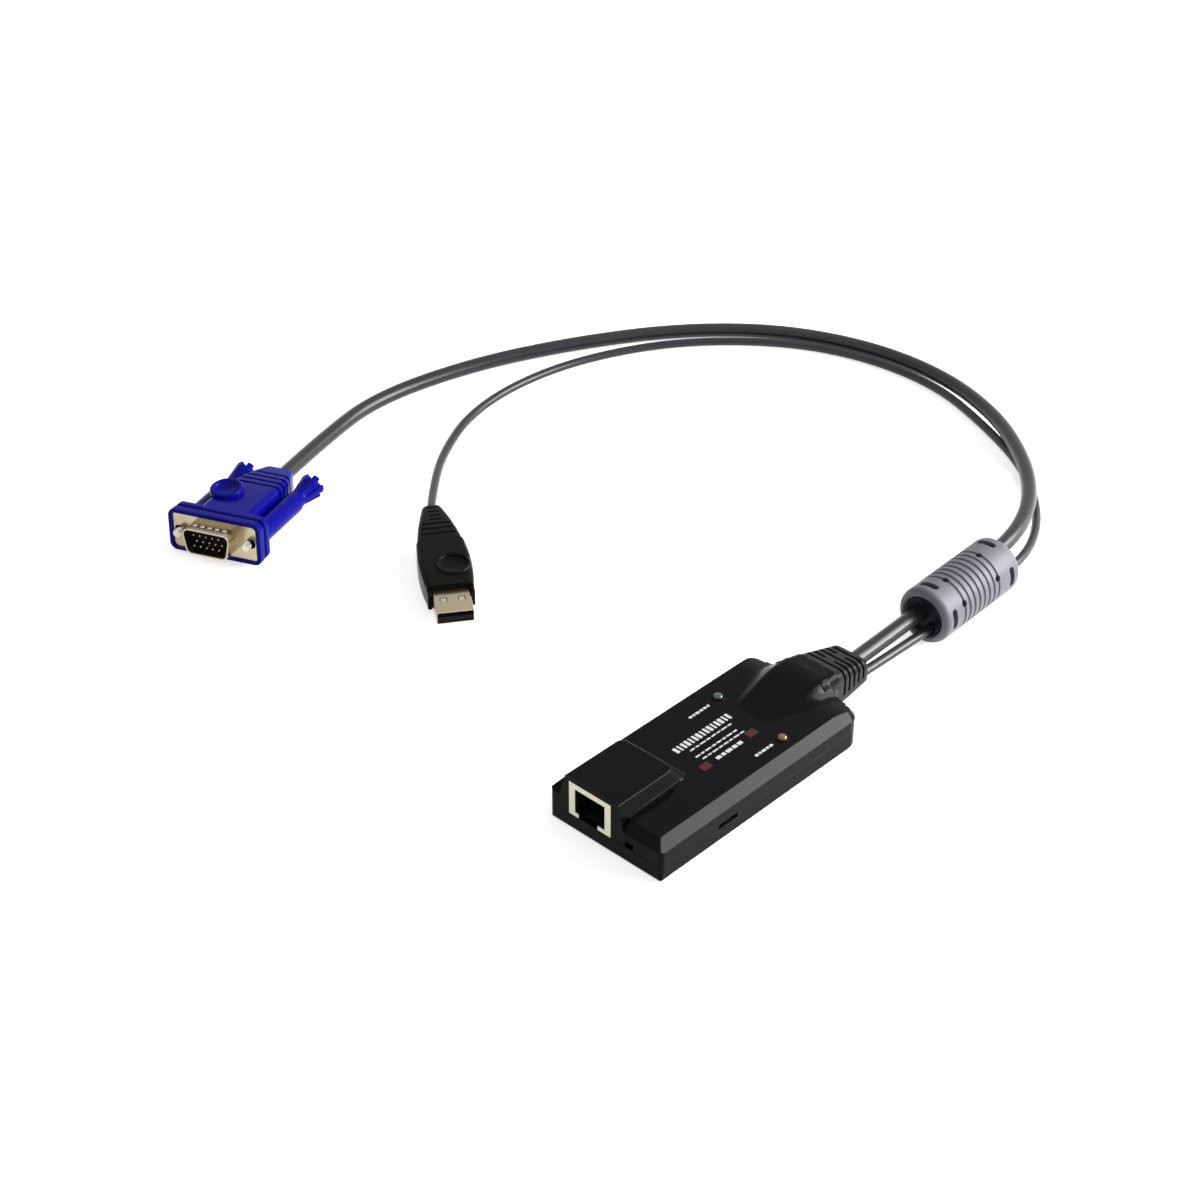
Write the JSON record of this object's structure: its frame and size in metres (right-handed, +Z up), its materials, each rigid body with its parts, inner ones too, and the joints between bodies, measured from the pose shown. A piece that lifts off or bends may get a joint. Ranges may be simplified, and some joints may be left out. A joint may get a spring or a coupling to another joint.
{
  "type": "kvm dongle",
  "caption": "Black KVM adapter with an RJ45 socket, a slotted boot and two leads through a ferrite to a blue video plug and a USB plug.",
  "frame": {"origin": "under the middle of the case on the surface that it stands on", "axes": "+Z up, +Y along the case from the RJ45 face to the cable exit, +X to the right seen from the RJ45 side"},
  "size_m": [0.2508, 0.2767, 0.019],
  "materials": {
    "case_plastic": "satin black ABS",
    "socket_shield": "tin-plated steel",
    "socket_plastic": "black nylon",
    "gold_contact": "gold-plated bronze",
    "board": "green solder mask",
    "chip": "black epoxy",
    "crystal_can": "nickel-plated can",
    "capacitor_can": "aluminium can",
    "header_plastic": "natural nylon",
    "online_lens": "pale green tinted lens",
    "power_lens": "amber tinted lens",
    "boot_pvc": "dark grey PVC",
    "cable_pvc": "dark grey PVC jacket",
    "ferrite_pvc": "dark grey PVC cover",
    "ferrite": "sintered ferrite",
    "blue_pvc": "video-plug blue PVC",
    "plug_steel": "nickel-plated steel",
    "pin_metal": "plated pins",
    "screw_steel": "nickel-plated steel",
    "usb_pvc": "black PVC"
  },
  "bodies": {
    "dongle": {"upper_case": "case_plastic", "lower_case": "case_plastic", "rj45_shield": "socket_shield", "rj45_housing": "socket_plastic", "rj45_contacts": "gold_contact", "circuit_board": "board", "main_controller": "chip", "video_driver": "chip", "usb_driver": "chip", "crystal": "crystal_can", "filter_capacitor": "capacitor_can", "video_header": "header_plastic", "usb_header": "header_plastic", "online_lamp": "online_lens", "power_lamp": "power_lens", "strain_relief_boot": "boot_pvc", "ferrite_cover": "ferrite_pvc", "ferrite_core": "ferrite", "video_cable": "cable_pvc", "usb_cable": "cable_pvc", "vga_hood": "blue_pvc", "vga_shell": "plug_steel", "vga_insulator": "socket_plastic", "vga_pins": "pin_metal", "usb_overmould": "usb_pvc", "usb_shell": "plug_steel", "usb_insulator": "socket_plastic", "usb_contacts": "gold_contact"},
    "thumbscrew_left": {"thumbscrew_head_left": "blue_pvc", "thumbscrew_shaft_left": "screw_steel"},
    "thumbscrew_right": {"thumbscrew_head_right": "blue_pvc", "thumbscrew_shaft_right": "screw_steel"}
  },
  "joints": [
    {"name": "thumbscrew_left_turn", "type": "hinge", "parent": "dongle", "child": "thumbscrew_left", "pos_m": [-0.21137, -0.01322, 0.00658], "axis": [-0.3686, 0.9263, -0.0785], "continuous": true},
    {"name": "thumbscrew_right_turn", "type": "hinge", "parent": "dongle", "child": "thumbscrew_right", "pos_m": [-0.18817, -0.00393, 0.00723], "axis": [-0.3686, 0.9263, -0.0785], "continuous": true}
  ]
}
